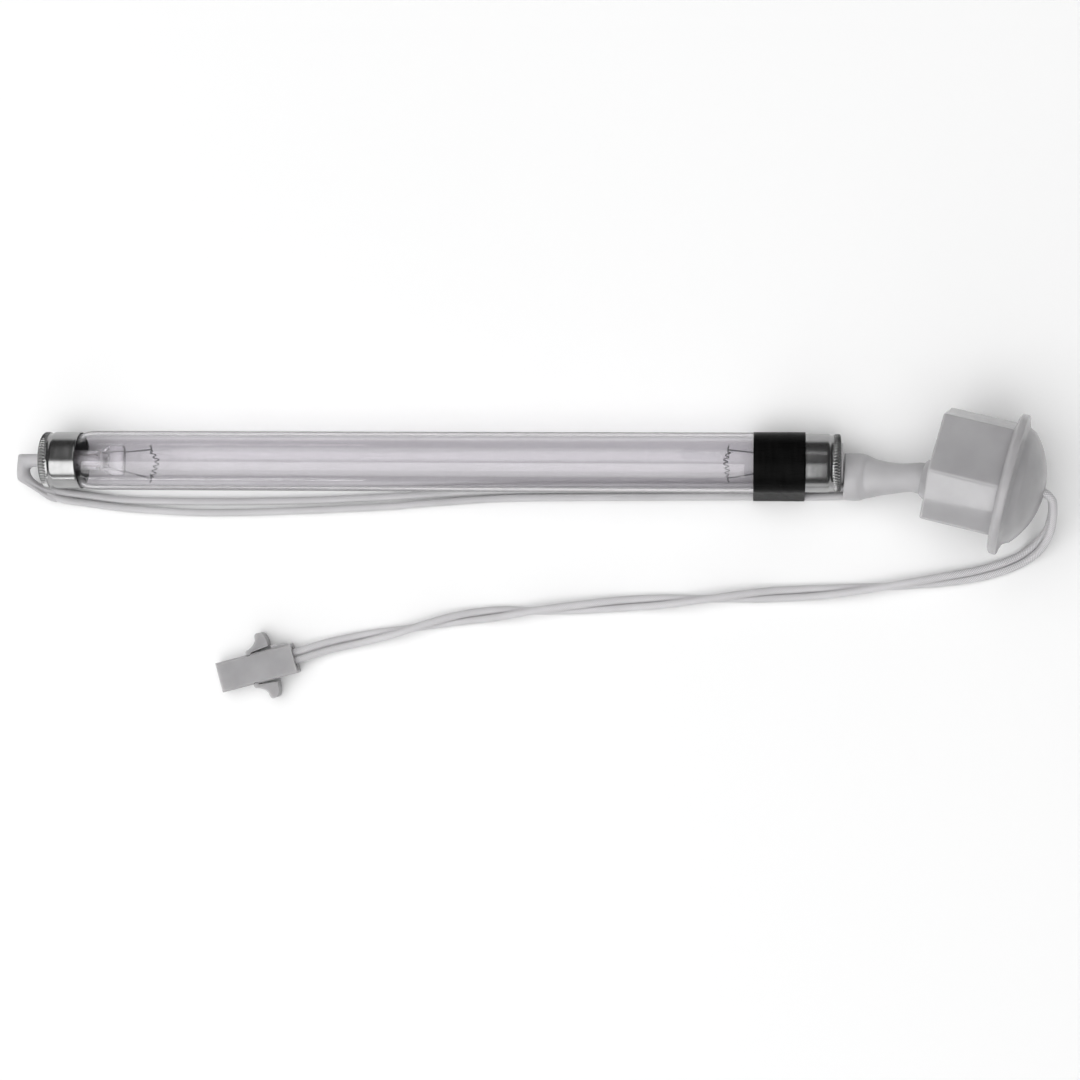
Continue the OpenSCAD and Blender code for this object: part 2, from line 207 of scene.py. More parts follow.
def aluminium(name, colour, low, high):
    """Drawn and rolled metal: fine marks run round the lamp's axis."""
    s = Shade(name, Metallic=1.0)
    marks = s.noise((2600, 110, 110), 4, 0.6)
    cloud = s.noise(260, 3)
    s.set(Base_Color=s.times(
        s.ramp(cloud, (0.25, colour * 0.8), (0.75, colour)),
        s.ramp(marks, (0.2, 0.95), (0.7, 1.0))))
    s.set(Roughness=s.ramp(marks, (0.25, low), (0.8, high)))
    s.bump(cloud, 0.1, 0.00003)
    return s.material


def wire_metal(name, colour, rough):
    s = Shade(name, Metallic=1.0)
    cloud = s.noise(900, 3)
    s.set(Base_Color=s.ramp(cloud, (0.3, tuple(0.7 * c for c in colour)),
                            (0.7, colour)))
    s.set(Roughness=s.ramp(cloud, (0.3, rough), (0.8, rough + 0.2)))
    return s.material


def soft_white(name, dark, light, rough, subsurface, radius, grain=2200,
               coat=0.0):
    """Silicone, nylon or sleeving: a clouded off-white that light enters."""
    s = Shade(name, Subsurface_Weight=subsurface, Subsurface_Scale=radius,
              Subsurface_Radius=(1.0, 0.96, 0.92), IOR=1.42,
              Coat_Weight=coat, Coat_IOR=1.42)
    if coat:
        s.set(Coat_Roughness=s.ramp(s.noise(150, 2), (0.3, 0.02), (0.8, 0.06)))
    cloud = s.noise(95, 3)
    s.set(Base_Color=s.ramp(cloud, (0.3, cast(dark)), (0.72, cast(light))))
    s.set(Roughness=s.ramp(s.noise(420, 3), (0.3, rough), (0.75, rough + 0.14)))
    s.bump(s.noise(grain, 3), 0.22, 0.00005)
    return s.material


def braided(name, dark, light):
    """Woven glass-fibre sleeving: painted shade darkens the gaps between its
    yarns, yarns in the bump.
    """
    s = Shade(name, Sheen_Weight=0.25, Sheen_Roughness=0.5,
              Specular_IOR_Level=0.35)
    # painted shade: the colour darkens where the weave's height is low, in the
    # gaps between yarns
    gaps = s.ramp(s.attribute("weave"), (0.0, cast(dark)),
                  (0.75, cast(light)))
    wear = s.ramp(s.noise(70, 3), (0.25, 0.86), (0.7, 1.0))
    s.set(Base_Color=s.times(gaps, wear))
    s.set(Roughness=s.ramp(s.noise(900, 2), (0.3, 0.5), (0.8, 0.75)))
    s.bump(s.noise(6500, 2), 0.4, 0.00004)
    return s.material


def tape_film(name):
    s = Shade(name, IOR=1.25, Specular_IOR_Level=0.12)
    s.set(Base_Color=s.ramp(s.noise((900, 120, 120), 3), (0.3, 0.002),
                            (0.8, 0.005)))
    s.set(Roughness=s.ramp(s.noise((300, 1500, 1500), 3), (0.25, 0.22),
                           (0.8, 0.4)))
    s.bump(s.noise((700, 1600, 1600), 3), 0.3, 0.00005)
    return s.material


# the clear glass carries a painted shade on its rims
CLEAR_GLASS = glass("clear glass", 0.8, (0.0, 0.02), painted_rim_shade=0.85)
STEM_GLASS = glass("stem glass", 0.9, (0.02, 0.1), 1.52, 0.9,
                   ripple=(550, 0.5))
CAP_METAL = aluminium("cap aluminium", 0.39, 0.2, 0.27)
PIN_METAL = wire_metal("plated pins", (0.62, 0.58, 0.46), 0.25)
POST_METAL = wire_metal("nickel wire", (0.2, 0.2, 0.205), 0.35)
SEAL_METAL = wire_metal("seal wire", (0.16, 0.13, 0.12), 0.35)
COIL = wire_metal("coated coil", (0.05, 0.05, 0.05), 0.6)
CONTACT_METAL = wire_metal("tinned contact", (0.7, 0.64, 0.48), 0.22)
INSULATOR = soft_white("pin insulator", 0.5, 0.62, 0.5, 0.1, 0.0008)
CEMENT = soft_white("basing cement", 0.05, 0.12, 0.85, 0.0, 0.0005, 1500)
TAPE = tape_film("black tape")
SLEEVE = soft_white("white sleeve", 0.38, 0.46, 0.45, 0.3, 0.0012)
NECK = soft_white("satin neck", 0.37, 0.42, 0.34, 0.4, 0.002, 900)
SILICONE = soft_white("milky silicone", 0.315, 0.37, 0.4, 0.6, 0.003, 700, 0.7)
NYLON = soft_white("natural nylon", 0.3, 0.42, 0.36, 0.8, 0.004, 1400)
RETURN_BRAID = braided("return sleeving", 0.3, 0.6)
PIGTAIL_BRAID = braided("pigtail sleeving", 0.1, 0.72)
INNER_LEAD = soft_white("inner leads", 0.5, 0.6, 0.5, 0.1, 0.001)
POTTING = soft_white("sealing compound", 0.45, 0.5, 0.6, 0.2, 0.002)


# ------------------------------------------------------------- mesh making


def add_piece(name, points, faces, material, body=None, replaces=(),
              weave=None):
    """A closed mesh from lamp millimetres, with its normals outward."""
    mesh = bpy.data.meshes.new(name)
    mesh.from_pydata(to_frame(points).tolist(), [], faces)
    work = bmesh.new()
    work.from_mesh(mesh)
    bmesh.ops.recalc_face_normals(work, faces=work.faces)
    work.to_mesh(mesh)
    work.free()
    if weave is not None:
        made = mesh.attributes.new("weave", "FLOAT", "POINT")
        made.data.foreach_set("value", np.asarray(weave, np.float32))
    mesh.materials.append(material)
    mesh.polygons.foreach_set("use_smooth", [True] * len(mesh.polygons))
    mesh.update()
    piece = bpy.data.objects.new(name, mesh)
    scene.collection.objects.link(piece)
    if body:
        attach(piece, body)
    if replaces:
        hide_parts(*replaces)
    return piece


def grid_faces(rings, sides, closed_rings=False, base=0):
    """Quads between rings of points, each ring closed on itself."""
    last = rings if closed_rings else rings - 1
    faces = []
    for i in range(last):
        here, there = base + i * sides, base + (i + 1) % rings * sides
        for j in range(sides):
            k = (j + 1) % sides
            faces.append((here + j, here + k, there + k, there + j))
    return faces


def end_faces(rings, sides, base=0):
    """The two flat ends of a tube of rings."""
    last = base + (rings - 1) * sides
    return [tuple(range(base + sides - 1, base - 1, -1)),
            tuple(range(last, last + sides))]


def smooth_rows(rows, steps):
    """The same smooth curve through a route's rows as in the CAD source."""
    rows = np.asarray(rows, float)
    padded = np.vstack([rows[:1], rows, rows[-1:]])
    out = []
    for i in range(len(rows) - 1):
        a, b, c, d = padded[i:i + 4]
        for t in np.arange(steps) / steps:
            out.append((2 * b + (c - a) * t
                        + (2 * a - 5 * b + 4 * c - d) * t * t
                        + (3 * b - a - 3 * c + d) * t ** 3) / 2)
    return np.array(out + [rows[-1]])


def spaced_rows(rows, step):
    """Rows at even steps along their route."""
    gaps = np.linalg.norm(np.diff(rows[:, :3], axis=0), axis=1)
    along = np.concatenate([[0], np.cumsum(gaps)])
    at = np.linspace(0, along[-1], max(2, round(along[-1] / step) + 1))
    return np.stack([np.interp(at, along, rows[:, k])
                     for k in range(rows.shape[1])], axis=1)


def sweep_frames(points):
    """Sideways and upward directions along a route."""
    heading = unit(np.gradient(points[:, :3], axis=0))
    across = unit(np.cross(heading, (0, 0, 1)))
    return across, np.cross(across, heading)


def skin(rows, sides, grow=None):
    """Rings round rows of x, y, z, half width, half height."""
    across, upward = sweep_frames(rows)
    a = 2 * math.pi * (np.arange(sides) + 0.5) / sides
    wide, high = rows[:, 3:4], rows[:, 4:5]
    if grow is not None:
        wide, high = wide + grow, high + grow
    points = (rows[:, None, :3]
              + (wide * np.cos(a))[..., None] * across[:, None]
              + (high * np.sin(a))[..., None] * upward[:, None])
    return points.reshape(-1, 3)


def round_rows(points, radius):
    return np.hstack([points[:, :3], np.full((len(points), 2), radius)])


def add_braid(name, route, radius, strands, relief, material, **options):
    """A tube of flat yarns woven over and under each other at 45 degrees."""
    sides = 4 * strands
    step = 2 * math.pi * radius / sides
    rows = spaced_rows(np.asarray(route, float), step)
    k, m = np.meshgrid(np.arange(sides), np.arange(len(rows)))
    one, two = (k + m) / 4 + 0.125, (k - m) / 4 + 0.125
    over = (np.floor(one) + np.floor(two)) % 2 == 0
    side = np.where(over, one % 1, two % 1) * 2 - 1
    along = np.where(over, two % 1, one % 1) * 2 - 1
    height = (1 - 0.75 * side ** 2) * np.cos(along * math.pi / 2) ** 0.7
    rows = round_rows(rows, radius)
    points = skin(rows, sides, relief * (height - 1))
    faces = grid_faces(len(rows), sides) + end_faces(len(rows), sides)
    made = add_piece(name, points, faces, material, weave=height.ravel(),
                     **options)
    return made, to_frame(rows[:, :3])


# ------------------------------------------------------- cords, made first

# Route of the pigtail pair: x, y, z of the lower lead's middle on the
# ground, and how far the pair has twisted, in degrees.
PIGTAIL_R = 1.05
PIGTAIL_ROUTE = [
    (260.9, -7.25, 18.3, 80), (262.8, -7.8, 18.5, 80),
    (264.5, -9.4, 17.8, 85), (265.1, -11.9, 15.6, 90),
    (265.2, -14.6, 12.5, 95), (265, -17, 9.3, 105),
    (264.3, -19.2, 6, 125), (263, -21.3, 3.2, 150), (261, -23.3, 1.6, 170),
    (258.4, -25, 1.05, 180), (255, -26.5, 1.05, 185),
    (251, -27.8, 1.05, 190), (246, -29, 1.05, 200), (240, -30, 1.05, 215),
    (234, -30.8, 1.05, 235), (227, -31.7, 1.05, 257),
    (220, -32.5, 1.05, 285), (212, -33.3, 1.05, 315),
    (204, -33.9, 1.05, 345), (194, -34.5, 1.05, 375),
    (184, -35.2, 1.05, 425), (174, -36, 1.05, 465), (164, -36.7, 1.05, 515),
    (154, -37.4, 1.05, 550), (143, -38.4, 1.05, 585),
    (132, -39.3, 1.05, 625), (122, -40.2, 1.05, 690),
    (112, -41.5, 1.05, 745), (103, -43.4, 1.05, 790),
    (94, -45.5, 1.05, 840), (85, -47.4, 1.05, 880), (77, -49.2, 1.5, 895),
    (72, -50.7, 2.4, 900), (68.7, -51.8, 2.8, 900), (65, -52.8, 2.8, 900)]
RETURN_R = 1.0
OUTER_RETURN = [
    (-1.2, -9.05, 2.7), (3, -10.5, 1.6), (10, -11.5, 1), (21, -12.8, 1),
    (38, -13.7, 1), (54, -13.6, 1), (71, -12.95, 1), (82, -12.4, 1),
    (93, -11.8, 1), (103, -10.9, 1), (112, -10.2, 1), (121, -9.6, 1),
    (131, -9.3, 1), (157, -9, 1), (188, -8.7, 1.2), (204, -8.7, 1.2),
    (212, -8.5, 1.7), (215, -8.1, 2.4)]
INNER_RETURN = [
    (-1.8, -7.5, 2.8), (3, -8.4, 1.6), (10, -9.3, 1), (21, -10.5, 1),
    (38, -10.8, 1), (54, -10.7, 1), (71, -10.3, 1), (82, -9.8, 1),
    (93, -9.2, 1), (103, -8.5, 1), (112, -7.9, 1), (121, -7.4, 1),
    (131, -7.1, 1), (157, -6.8, 1), (188, -6.6, 1.2), (204, -6.6, 1.2),
    (212, -6.3, 1.7), (215, -5.9, 2.6)]


def pair_lead(turn):
    """One lead of the twisted pair, turn 0 or 180 degrees."""
    rows = smooth_rows(PIGTAIL_ROUTE, 12)
    across, upward = sweep_frames(rows)
    lift = PIGTAIL_R * np.abs(np.sin(np.radians(rows[:, 3])))
    a = np.radians(rows[:, 3:4] + turn)
    middle = rows[:, :3] + np.outer(lift, (0, 0, 1))
    return middle + PIGTAIL_R * (np.cos(a) * across + np.sin(a) * upward)


pigtail_a, path_a = add_braid("pigtail_strand_a", pair_lead(0), PIGTAIL_R, 10,
                              0.13, PIGTAIL_BRAID, replaces=["pigtail_lead_a"])
pigtail_b, path_b = add_braid("pigtail_strand_b", pair_lead(180), PIGTAIL_R,
                              10, 0.13, PIGTAIL_BRAID,
                              replaces=["pigtail_lead_b"])
for side, route in (("outer", OUTER_RETURN), ("inner", INNER_RETURN)):
    add_braid(side + "_return_sleeving", smooth_rows(route, 10), RETURN_R, 8,
              0.07, RETURN_BRAID, body="lamp",
              replaces=[side + "_return_lead"])


# -------------------------------------------------------------- lamp parts


def turned(name, outline, segments, material, near=False, radius=None,
           **options):
    """A shell turned round the lamp's axis from a closed outline of x, r.

    radius(x, r, angle) may change a point's radius. near mirrors the piece
    to the near end of the lamp.
    """
    a = 2 * math.pi * np.arange(segments) / segments
    rings = []
    for x, r in outline:
        rr = np.full(segments, float(r)) if radius is None else radius(x, r, a)
        xx = np.full(segments, LAMP_LENGTH - x if near else float(x))
        rings.append(np.stack([xx, rr * np.cos(a), rr * np.sin(a) + AXIS_Z],
                              axis=1))
    faces = grid_faces(len(rings), segments, closed_rings=True)
    return add_piece(name, np.vstack(rings), faces, material, body="lamp",
                     **options)


def eased(points, steps):
    """An outline with smooth bends between its points."""
    return [tuple(p) for p in smooth_rows(np.array(points, float), steps)]


def add_envelope():
    """The clear tube, necked down into both caps, with rounded ends."""
    rise = [(3.2, 6.0), (4.0, 6.45), (5.2, 6.8), (6.6, 7.05), (8.4, 7.05),
            (9.8, 7.05), (10.6, 7.2), (11.4, 7.5), (12.4, 7.75),
            (13.6, 7.87), (15.5, TUBE_R), (20.0, TUBE_R)]
    rise = eased(rise, 3)
    middle = [(x, TUBE_R) for x in range(30, 183, 8)]
    fall = [(LAMP_LENGTH - x, r) for x, r in reversed(rise)]
    outside = rise + middle + fall
    inside = [(x, r - TUBE_WALL) for x, r in reversed(outside)]
    first, last = outside[0], outside[-1]
    lip = 0.35
    tip = [(first[0] - lip, first[1] - TUBE_WALL / 2)]
    end = [(last[0] + lip, last[1] - TUBE_WALL / 2)]
    turned("glass_envelope", outside + end + inside + tip, 96, CLEAR_GLASS,
           replaces=["glass_tube"])


def add_cap(name, near, node):
    """A drawn cap: a curled face, crimp teeth, a groove and a rolled lip."""
    teeth, tooth_depth = 56, 0.7
    teeth_x, teeth_reach = 0.95, 0.85
    inner_r = 6.9

    def crimped(x, r, a):
        near_teeth = np.clip(1 - abs(x - teeth_x) / teeth_reach, 0, 1)
        depth = tooth_depth * near_teeth ** 0.4
        wave = 0.5 - 0.5 * np.cos(a * teeth)
        return r - (depth * wave if r > inner_r else 0)

    outside = [(0.55, 5.25), (0.12, 5.3), (0.0, 5.6), (0.0, 6.6), (0.06, 7.1),
               (0.22, 7.42), (0.5, 7.58), (0.95, 7.6), (1.45, 7.58),
               (1.75, 7.4), (2.0, 7.22), (2.35, 7.18), (2.7, 7.24),
               (2.95, 7.45), (3.25, 7.58), (3.7, CAP_R), (5.2, CAP_R),
               (6.8, CAP_R), (8.4, CAP_R), (9.4, 7.58), (9.75, 7.6),
               (10.0, 7.58), (10.15, 7.5), (10.2, 7.42)]
    inside = [(10.12, 7.32), (9.8, 7.3), (6.5, 7.3), (3.2, 7.3),
              (2.7, inner_r), (0.7, inner_r), (0.6, 6.4), (0.6, 5.6)]
    turned(name, outside + inside, 6 * teeth, CAP_METAL, near, crimped,
           replaces=[node])


def add_stem(name, near, node):
    """The pressed stem: a flare, a thin throat and a pinched flat head."""
    # x, half width across the pins, half height
    rows = np.array([
        (3.1, 5.05, 5.05), (3.8, 4.6, 4.6), (5.0, 3.85, 3.85),
        (7.0, 3.1, 3.1), (9.5, 2.75, 2.75), (12.5, 2.62, 2.62),
        (15.0, 2.7, 2.6), (16.4, 3.2, 2.3), (17.4, 3.75, 1.75),
        (18.2, 4.05, 1.5), (19.2, 4.15, 1.45), (20.4, 4.15, 1.5),
        (21.2, 4.05, 1.5), (21.8, 3.7, 1.25), (22.0, 3.0, 0.8)])
    rows = smooth_rows(rows, 4)
    sides = 64
    a = 2 * math.pi * np.arange(sides) / sides
    rings = []
    for x, wide, high in rows:
        press = np.clip((x - 14.5) / 4, 0, 1)
        power = 1 - 0.28 * press
        y = wide * np.sign(np.cos(a)) * np.abs(np.cos(a)) ** power
        z = high * np.sign(np.sin(a)) * np.abs(np.sin(a)) ** power
        dent = 1 - 0.22 * press * np.exp(-(y / 1.1) ** 2)
        rings.append(np.stack([np.full(sides, x), y, z * dent + AXIS_Z],
                              axis=1))
    inner = [(15.3, 1.9), (12.5, 1.92), (9.5, 2.02), (7.0, 2.4), (5.0, 3.15),
             (3.8, 3.9), (3.2, 4.3)]
    for x, r in inner:
        rings.append(np.stack([np.full(sides, x), r * np.cos(a),
                               r * np.sin(a) + AXIS_Z], axis=1))
    # the head's end and the bottom of the hollow are closed by their own faces
    outer = len(rows)
    faces = grid_faces(outer, sides)
    faces += grid_faces(len(inner), sides, base=outer * sides)
    faces.append(tuple(range((outer - 1) * sides, outer * sides)))
    faces.append(tuple(range(outer * sides, (outer + 1) * sides)))
    last = (outer + len(inner) - 1) * sides
    for j in range(sides):
        k = (j + 1) % sides
        faces.append((last + j, last + k, k, j))
    points = np.vstack(rings)
    if near:
        points[:, 0] = LAMP_LENGTH - points[:, 0]
    add_piece(name, points, faces, STEM_GLASS, body="lamp", replaces=[node])


def mirrored(points, near):
    points = np.array(points, float)
    if near:
        points[:, 0] = LAMP_LENGTH - points[:, 0]
    return points


def merge(parts):
    """Several lists of points and faces as one."""
    points, faces, base = [], [], 0
    for p, f in parts:
        points.append(p)
        faces += [tuple(i + base for i in face) for face in f]
        base += len(p)
    return np.vstack(points), faces


def wire(points, radius, sides=10, steps=6):
    """A bent round wire as points and faces."""
    rows = round_rows(smooth_rows(points, steps), radius)
    heading = unit(np.gradient(rows[:, :3], axis=0))
    ref = unit(np.cross(heading[0], (0.31, 0.17, 0.93)))
    a = 2 * math.pi * np.arange(sides) / sides
    rings = []
    for p, h in zip(rows[:, :3], heading):
        ref = unit(ref - h * (ref @ h))
        other = np.cross(h, ref)
        rings.append(p + radius * (np.outer(np.cos(a), ref)
                                   + np.outer(np.sin(a), other)))
    return (np.vstack(rings),
            grid_faces(len(rings), sides) + end_faces(len(rings), sides))


def add_mount(end, near):
    """Posts that cross their clamps' tails, and the coil between them."""
    middle, spread, hang = (-0.3, 3.65, 0.35) if near else (-0.9, 3.85, 1.1)
    post_r, clamp_x = 0.2, 29.3
    parts = []
    for side in (-1, 1):
        tip = middle + side * spread
        post = [(15.9, side * 1.7), (19.0, side * 2.3),
                (22.2, side * 2.7 + middle * 0.4),
                (25.5, side * 3.2 + middle * 0.7), (28.4, tip * 0.98),
                (clamp_x, tip)]
        parts.append(wire(mirrored([(x, y, AXIS_Z) for x, y in post], near),
                          post_r))
        tail = [(28.9, tip - 1.15), (29.15, tip - 0.6), (29.25, tip),
                (29.15, tip + 0.6), (28.95, tip + 1.15)]
        parts.append(wire(mirrored([(x, y, AXIS_Z + 0.3) for x, y in tail],
                                   near), post_r))
    points, faces = merge(parts)
    add_piece(end + "_mount_wires", points, faces, POST_METAL, body="lamp",
              replaces=[end + "_filament_posts"])

    # the coil leaves one clamp, sags away from the posts and ends at the other
    turns, steps_a_turn = 6, 20
    t = np.linspace(-1, 1, turns * steps_a_turn + 1)
    sag = hang * (1 - t ** 2) + 0.25 * np.sin(5.3 * t + 0.6)
    a = 2 * math.pi * turns * (t + 1) / 2
    coil_r = 0.6 * np.clip((1 - np.abs(t)) / 0.14, 0.12, 1)
    line = np.stack([clamp_x + sag + coil_r * np.cos(a),
                     middle + (spread - 0.2) * t,
                     AXIS_Z + coil_r * np.sin(a) - 0.25 * (1 - t ** 2)],
                    axis=1)
    coil_wire_r = 0.12
    points, faces = wire(mirrored(line, near), coil_wire_r, 8, 1)
    add_piece(end + "_coil", points, faces, COIL, body="lamp",
              replaces=[end + "_filament"])


add_envelope()
for end, near in (("far", False), ("near", True)):
    add_cap(end + "_cap_shell", near, end + "_end_cap")
    add_stem(end + "_pressed_stem", near, end + "_stem")
    add_mount(end, near)


# -------------------------------------------------------------- tape band


def wrap_outline(grow, count):
    """The outline of tape pulled round the tube and the outer lead."""
    big, small = TUBE_R + grow, RETURN_R + grow
    lead = np.array((-8.7, RETURN_R + 0.2))
    tube = np.array((0.0, AXIS_Z))
    along = unit(lead - tube)
    down = np.array((0.0, -1.0))
    out = 2 * (along @ down) * along - down
    start = math.atan2(out[1], out[0]) % (2 * math.pi)
    round_tube = np.linspace(-math.pi / 2, start, 72)
    round_lead = np.linspace(start, 1.5 * math.pi, 16)
    line = np.vstack([
        tube + big * np.stack([np.cos(round_tube), np.sin(round_tube)], 1),
        lead + small * np.stack([np.cos(round_lead), np.sin(round_lead)], 1)])
    line = np.vstack([line, line[:1]])
    gaps = np.linalg.norm(np.diff(line, axis=0), axis=1)
    at = np.concatenate([[0], np.cumsum(gaps)])
    want = np.linspace(0, at[-1], count, endpoint=False)
    return np.stack([np.interp(want, at, line[:, k]) for k in (0, 1)], 1)


def add_tape():
    """Film pulled tight, with waves, and folds where it spans to the lead."""
    count, rings = 240, 28
    start, end = 189.4, 202.8
    width = end - start
    outer, inner = wrap_outline(0.2, count), wrap_outline(0.02, count)
    u = np.arange(count) / count
    inwards = unit(np.array((-2.0, 7.0)) - outer)
    span = np.exp(-((u - 0.72) / 0.1) ** 2)
    points = []
    for i in range(rings):
        t = i / (rings - 1)
        wave = 0.02 * np.sin(2 * math.pi * (3 * u + 0.4 * t))
        fold = 0.045 * np.sin(26 * t + 9 * np.sin(2 * math.pi * u)) * span
        p = outer + inwards * (0.05 + np.abs(wave + fold))[:, None]
        points.append(np.column_stack([np.full(count, start + width * t), p]))
    for i in range(rings - 1, -1, -1):
        t = i / (rings - 1)
        points.append(np.column_stack([np.full(count, start + width * t),
                                       inner]))
    faces = grid_faces(2 * rings, count, closed_rings=True)
    add_piece("tape_wrap", np.vstack(points), faces, TAPE, body="lamp",
              replaces=["tape_band"])


add_tape()


# ------------------------------------------------------------ soft sleeves

# x, y outside the fold, x, y inside it, middle's height and half height
SLEEVE_FOLD = [
    (-0.6, 1.65, -0.6, -1.75, 8.1, 3.9), (-3.0, 1.65, -2.4, -1.75, 8.1, 3.8),
    (-5.4, 1.62, -3.7, -1.9, 8.0, 3.4), (-7.0, 1.55, -4.3, -2.15, 7.8, 3.0),
    (-7.45, 0.95, -4.5, -2.45, 7.6, 2.8), (-7.8, -0.9, -4.65, -2.8, 7.3, 2.6),
    (-8.1, -3.3, -4.7, -3.3, 6.8, 2.3), (-8.2, -4.9, -4.6, -3.9, 6.2, 2.1),
    (-7.7, -5.75, -4.3, -4.6, 5.6, 1.9), (-6.3, -6.75, -3.75, -5.3, 4.8, 1.7),
    (-4.3, -8.1, -2.9, -6.05, 3.8, 1.55), (-2.4, -9.5, -1.8, -6.6, 2.95, 1.4),
    (-0.5, -10.75, -0.4, -6.8, 2.4, 1.3), (1.2, -11.2, 1.2, -7, 1.98, 1.1)]
NECK_ROUTE = [
    (212.9, -3.4, 6.3, 6, 6), (215.4, -3.5, 6.4, 6.2, 6.2),
    (217.6, -3.5, 6.8, 6, 5.9), (219.6, -3.7, 7.5, 5.3, 5.2),
    (221.4, -3.8, 8.6, 4.7, 4.7), (224, -3.9, 10.2, 4.2, 4.2),
    (226.5, -3.9, 11.9, 3.85, 3.85), (228.8, -3.8, 13.3, 3.65, 3.65),
    (230.5, -3.8, 14.1, 3.75, 3.75), (231.8, -3.95, 14.5, 4, 4),
    (233.2, -4.25, 14.85, 4.1, 4.1)]


def add_pin_sleeve():
    """A flat sleeve: boxy over the pins, creased, and closed on the leads."""
    rows = smooth_rows(SLEEVE_FOLD, 6)
    sides = 72
    a = 2 * math.pi * (np.arange(sides) + 0.5) / sides
    points = []
    for i, row in enumerate(rows):
        t = i / (len(rows) - 1)
        power = 0.55 + 0.45 * min(1, t / 0.35)
        across = np.sign(np.cos(a)) * np.abs(np.cos(a)) ** power
        upward = np.sign(np.sin(a)) * np.abs(np.sin(a)) ** power
        groove = 0.45 * np.clip((t - 0.55) / 0.4, 0, 1)
        upward = upward * (1 - groove * np.exp(-(across / 0.28) ** 2))
        out, inner = row[0:2], row[2:4]
        plan = (out + inner) / 2 + np.outer(across, (out - inner) / 2)
        points.append(np.column_stack([plan, row[4] + upward * row[5]]))
    faces = grid_faces(len(rows), sides) + end_faces(len(rows), sides)
    add_piece("folded_pin_sleeve", np.vstack(points), faces, SLEEVE,
              body="lamp", replaces=["pin_sleeve"])


add_pin_sleeve()


def add_neck():
    """The soft neck as a hollow skin along its route."""
    rows = spaced_rows(smooth_rows(NECK_ROUTE, 8), 0.4)
    sides, wall = 72, 0.9
    outer = skin(rows, sides)
    rings = len(rows)
    # the inner rings run back, so that the two ends close like a pipe's
    inner = skin(rows, sides, -wall).reshape(rings, sides, 3)[::-1]
    points = np.vstack([outer, inner.reshape(-1, 3)])
    faces = grid_faces(2 * rings, sides, closed_rings=True)
    return add_piece("neck_boot", points, faces, NECK,
                     replaces=["neck_sleeve"])


neck = add_neck()


def add_neck_leads():
    """Four leads side by side and one above the other in the neck."""
    rows = np.array(NECK_ROUTE)[3:-1]
    offset, radius = 0.95, 0.85
    parts = []
    for side in (-1, 1):
        for lift in (-1, 1):
            line = rows[:, :3] + (0, side * offset, lift * offset)
            parts.append(wire(line, radius, 16, 4))
    points, faces = merge(parts)
    return add_piece("neck_inner_leads", points, faces, INNER_LEAD,
                     replaces=["neck_leads"])


neck_wires = add_neck_leads()


# ---------------------------------------------------------------- stopper

PLUG_AT = np.array((254.2, -5.6, 18.2))
PLUG_YAW, PLUG_TILT, PLUG_ROLL, PLUG_SHIFT = -13.8, 9.0, 11.0, 1.1


def at_stopper(points):
    """From the stopper's own place, dome along +Z, to lamp millimetres."""
    turn = (Matrix.Rotation(math.radians(PLUG_YAW), 3, "Z")
            @ Matrix.Rotation(math.radians(90 - PLUG_TILT), 3, "Y"))
    return np.asarray(points, float) @ np.array(turn).T + PLUG_AT


